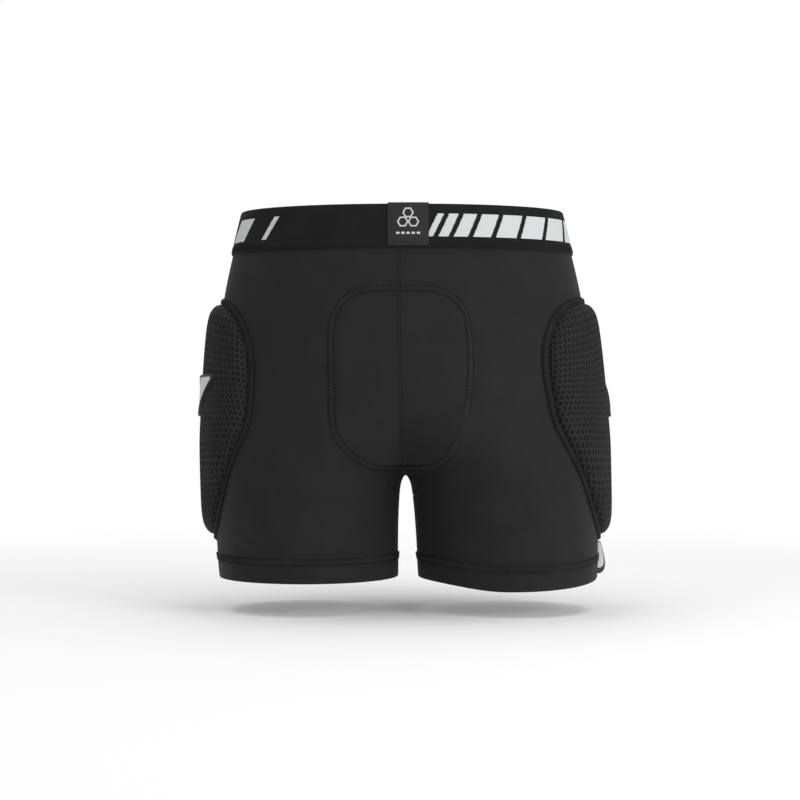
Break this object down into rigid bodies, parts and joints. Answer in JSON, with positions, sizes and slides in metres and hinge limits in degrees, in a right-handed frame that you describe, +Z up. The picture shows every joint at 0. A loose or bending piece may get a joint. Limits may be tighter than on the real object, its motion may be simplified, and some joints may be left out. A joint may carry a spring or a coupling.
{
  "type": "padded hip protection shorts",
  "caption": "Close-fitting padded sports shorts in worn form, with domed honeycomb-mesh pads over the hips, an elastic waistband and a stitched-in seat pad.",
  "frame": {"origin": "centre of the waistband at its middle height, where the wearer's waist holds it", "axes": "+Z up, the wearer faces -Y, +X towards the wearer's left"},
  "size_m": [0.3906, 0.2279, 0.3524],
  "materials": {
    "shell_fabric": "matt black knitted stretch jersey",
    "band_elastic": "matt black knitted elastic",
    "label_weave": "fine dark grey woven label",
    "pad_mesh": "open honeycomb spacer mesh over foam, dark grey",
    "pad_binding": "black binding with cover stitching",
    "seat_foam": "fabric-faced thin foam",
    "badge_rubber": "satin moulded pale grey rubber with a dark rim",
    "tab_weave": "white woven tab with a grey edge"
  },
  "bodies": {
    "root": {"waistband": "band_elastic", "back_label": "label_weave", "panel_left": "shell_fabric", "panel_right": "shell_fabric", "gusset": "shell_fabric", "seat_pad": "seat_foam", "hip_pad_left": "pad_mesh", "hip_pad_right": "pad_mesh", "pad_border_left": "pad_binding", "pad_border_right": "pad_binding", "hip_badge_left": "badge_rubber", "hip_badge_right": "badge_rubber", "hem_tab": "tab_weave"}
  },
  "joints": []
}
